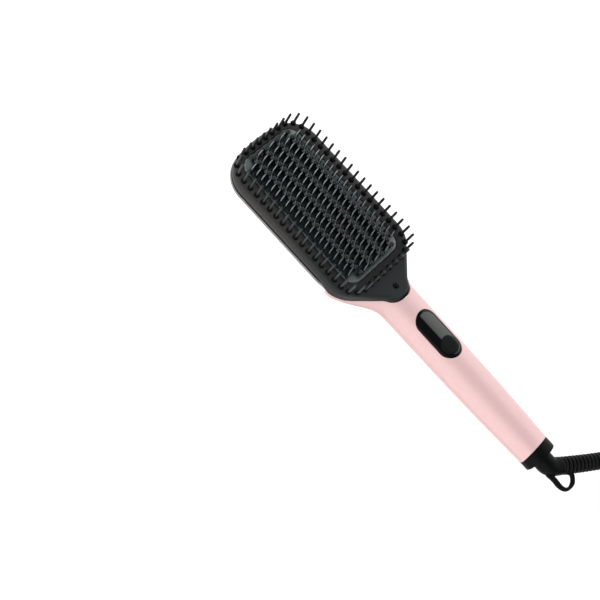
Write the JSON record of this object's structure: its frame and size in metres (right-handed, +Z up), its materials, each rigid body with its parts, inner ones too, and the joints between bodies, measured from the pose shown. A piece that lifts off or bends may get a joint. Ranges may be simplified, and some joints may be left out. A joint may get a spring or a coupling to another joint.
{
  "type": "hair straightening comb",
  "caption": "Flat heated hair straightening comb with guard pins, blades and ball pegs, a tapering handle with display and button, and a swivel cord with plug.",
  "frame": {"origin": "centre of the comb's footprint without its cord, on the surface that it lies on", "axes": "+X from the tip of the head along the handle to the cord, +Z up through the face with the teeth, +Y across"},
  "size_m": [0.4642, 0.1227, 0.0402],
  "materials": {
    "pink_plastic": "satin metallic rose",
    "black_plastic": "fine satin",
    "black_gloss": "gloss",
    "grey_trim": "satin silver",
    "plate_metal": "coated, glossy",
    "ceramic": "matt",
    "steel": "bright",
    "natural_plastic": "matt",
    "board": "satin",
    "brass": "satin",
    "rubber": "matt",
    "red_silicone": "satin"
  },
  "bodies": {
    "comb": {"back_shell": "pink_plastic", "handle_top_shell": "pink_plastic", "trim_ring": "grey_trim", "head_cover": "black_plastic", "heating_plate": "plate_metal", "heater_strip_1": "ceramic", "heater_strip_2": "ceramic", "clamp_plate": "steel", "clamp_screw_1": "steel", "clamp_screw_2": "steel", "clamp_screw_3": "steel", "heat_shield": "natural_plastic", "shield_screw_1": "steel", "shield_screw_2": "steel", "shield_screw_3": "steel", "shield_screw_4": "steel", "thermal_fuse": "natural_plastic", "temperature_sensor": "black_gloss", "heater_lead_1": "red_silicone", "heater_lead_2": "red_silicone", "ion_module": "black_plastic", "ion_needle": "steel", "ion_outlet": "black_plastic", "control_panel": "black_gloss", "main_board": "board", "board_screw_1": "steel", "board_screw_2": "steel", "display_module": "black_plastic", "capacitor": "black_gloss", "push_switch": "black_plastic", "triac": "black_plastic", "heat_sink": "steel", "terminal_block": "natural_plastic", "mains_lead_1": "red_silicone", "mains_lead_2": "red_silicone", "case_screw_1": "steel", "case_screw_2": "steel", "case_screw_3": "steel", "case_screw_4": "steel", "end_cap": "black_plastic", "contact_holder": "natural_plastic", "contact_brush_1": "brass", "contact_brush_2": "brass"},
    "button": {"power_button": "black_gloss"},
    "cord_swivel": {"contact_ring_1": "brass", "contact_ring_2": "brass", "swivel_elbow": "black_plastic", "strain_relief": "rubber", "cord": "rubber", "cord_coil": "rubber", "cord_tail": "rubber", "cord_tie": "rubber", "plug": "black_plastic", "plug_pin_1": "steel", "plug_pin_2": "steel"}
  },
  "joints": [
    {"name": "button_press", "type": "slide", "parent": "comb", "child": "button", "axis": [0, 0, -1], "range_m": [0, 0.0008], "stiffness_N_per_m": 1500},
    {"name": "cord_turn", "type": "hinge", "parent": "comb", "child": "cord_swivel", "pos_m": [0.12945, 0, 0.01351], "axis": [1, 0, 0], "continuous": true}
  ]
}
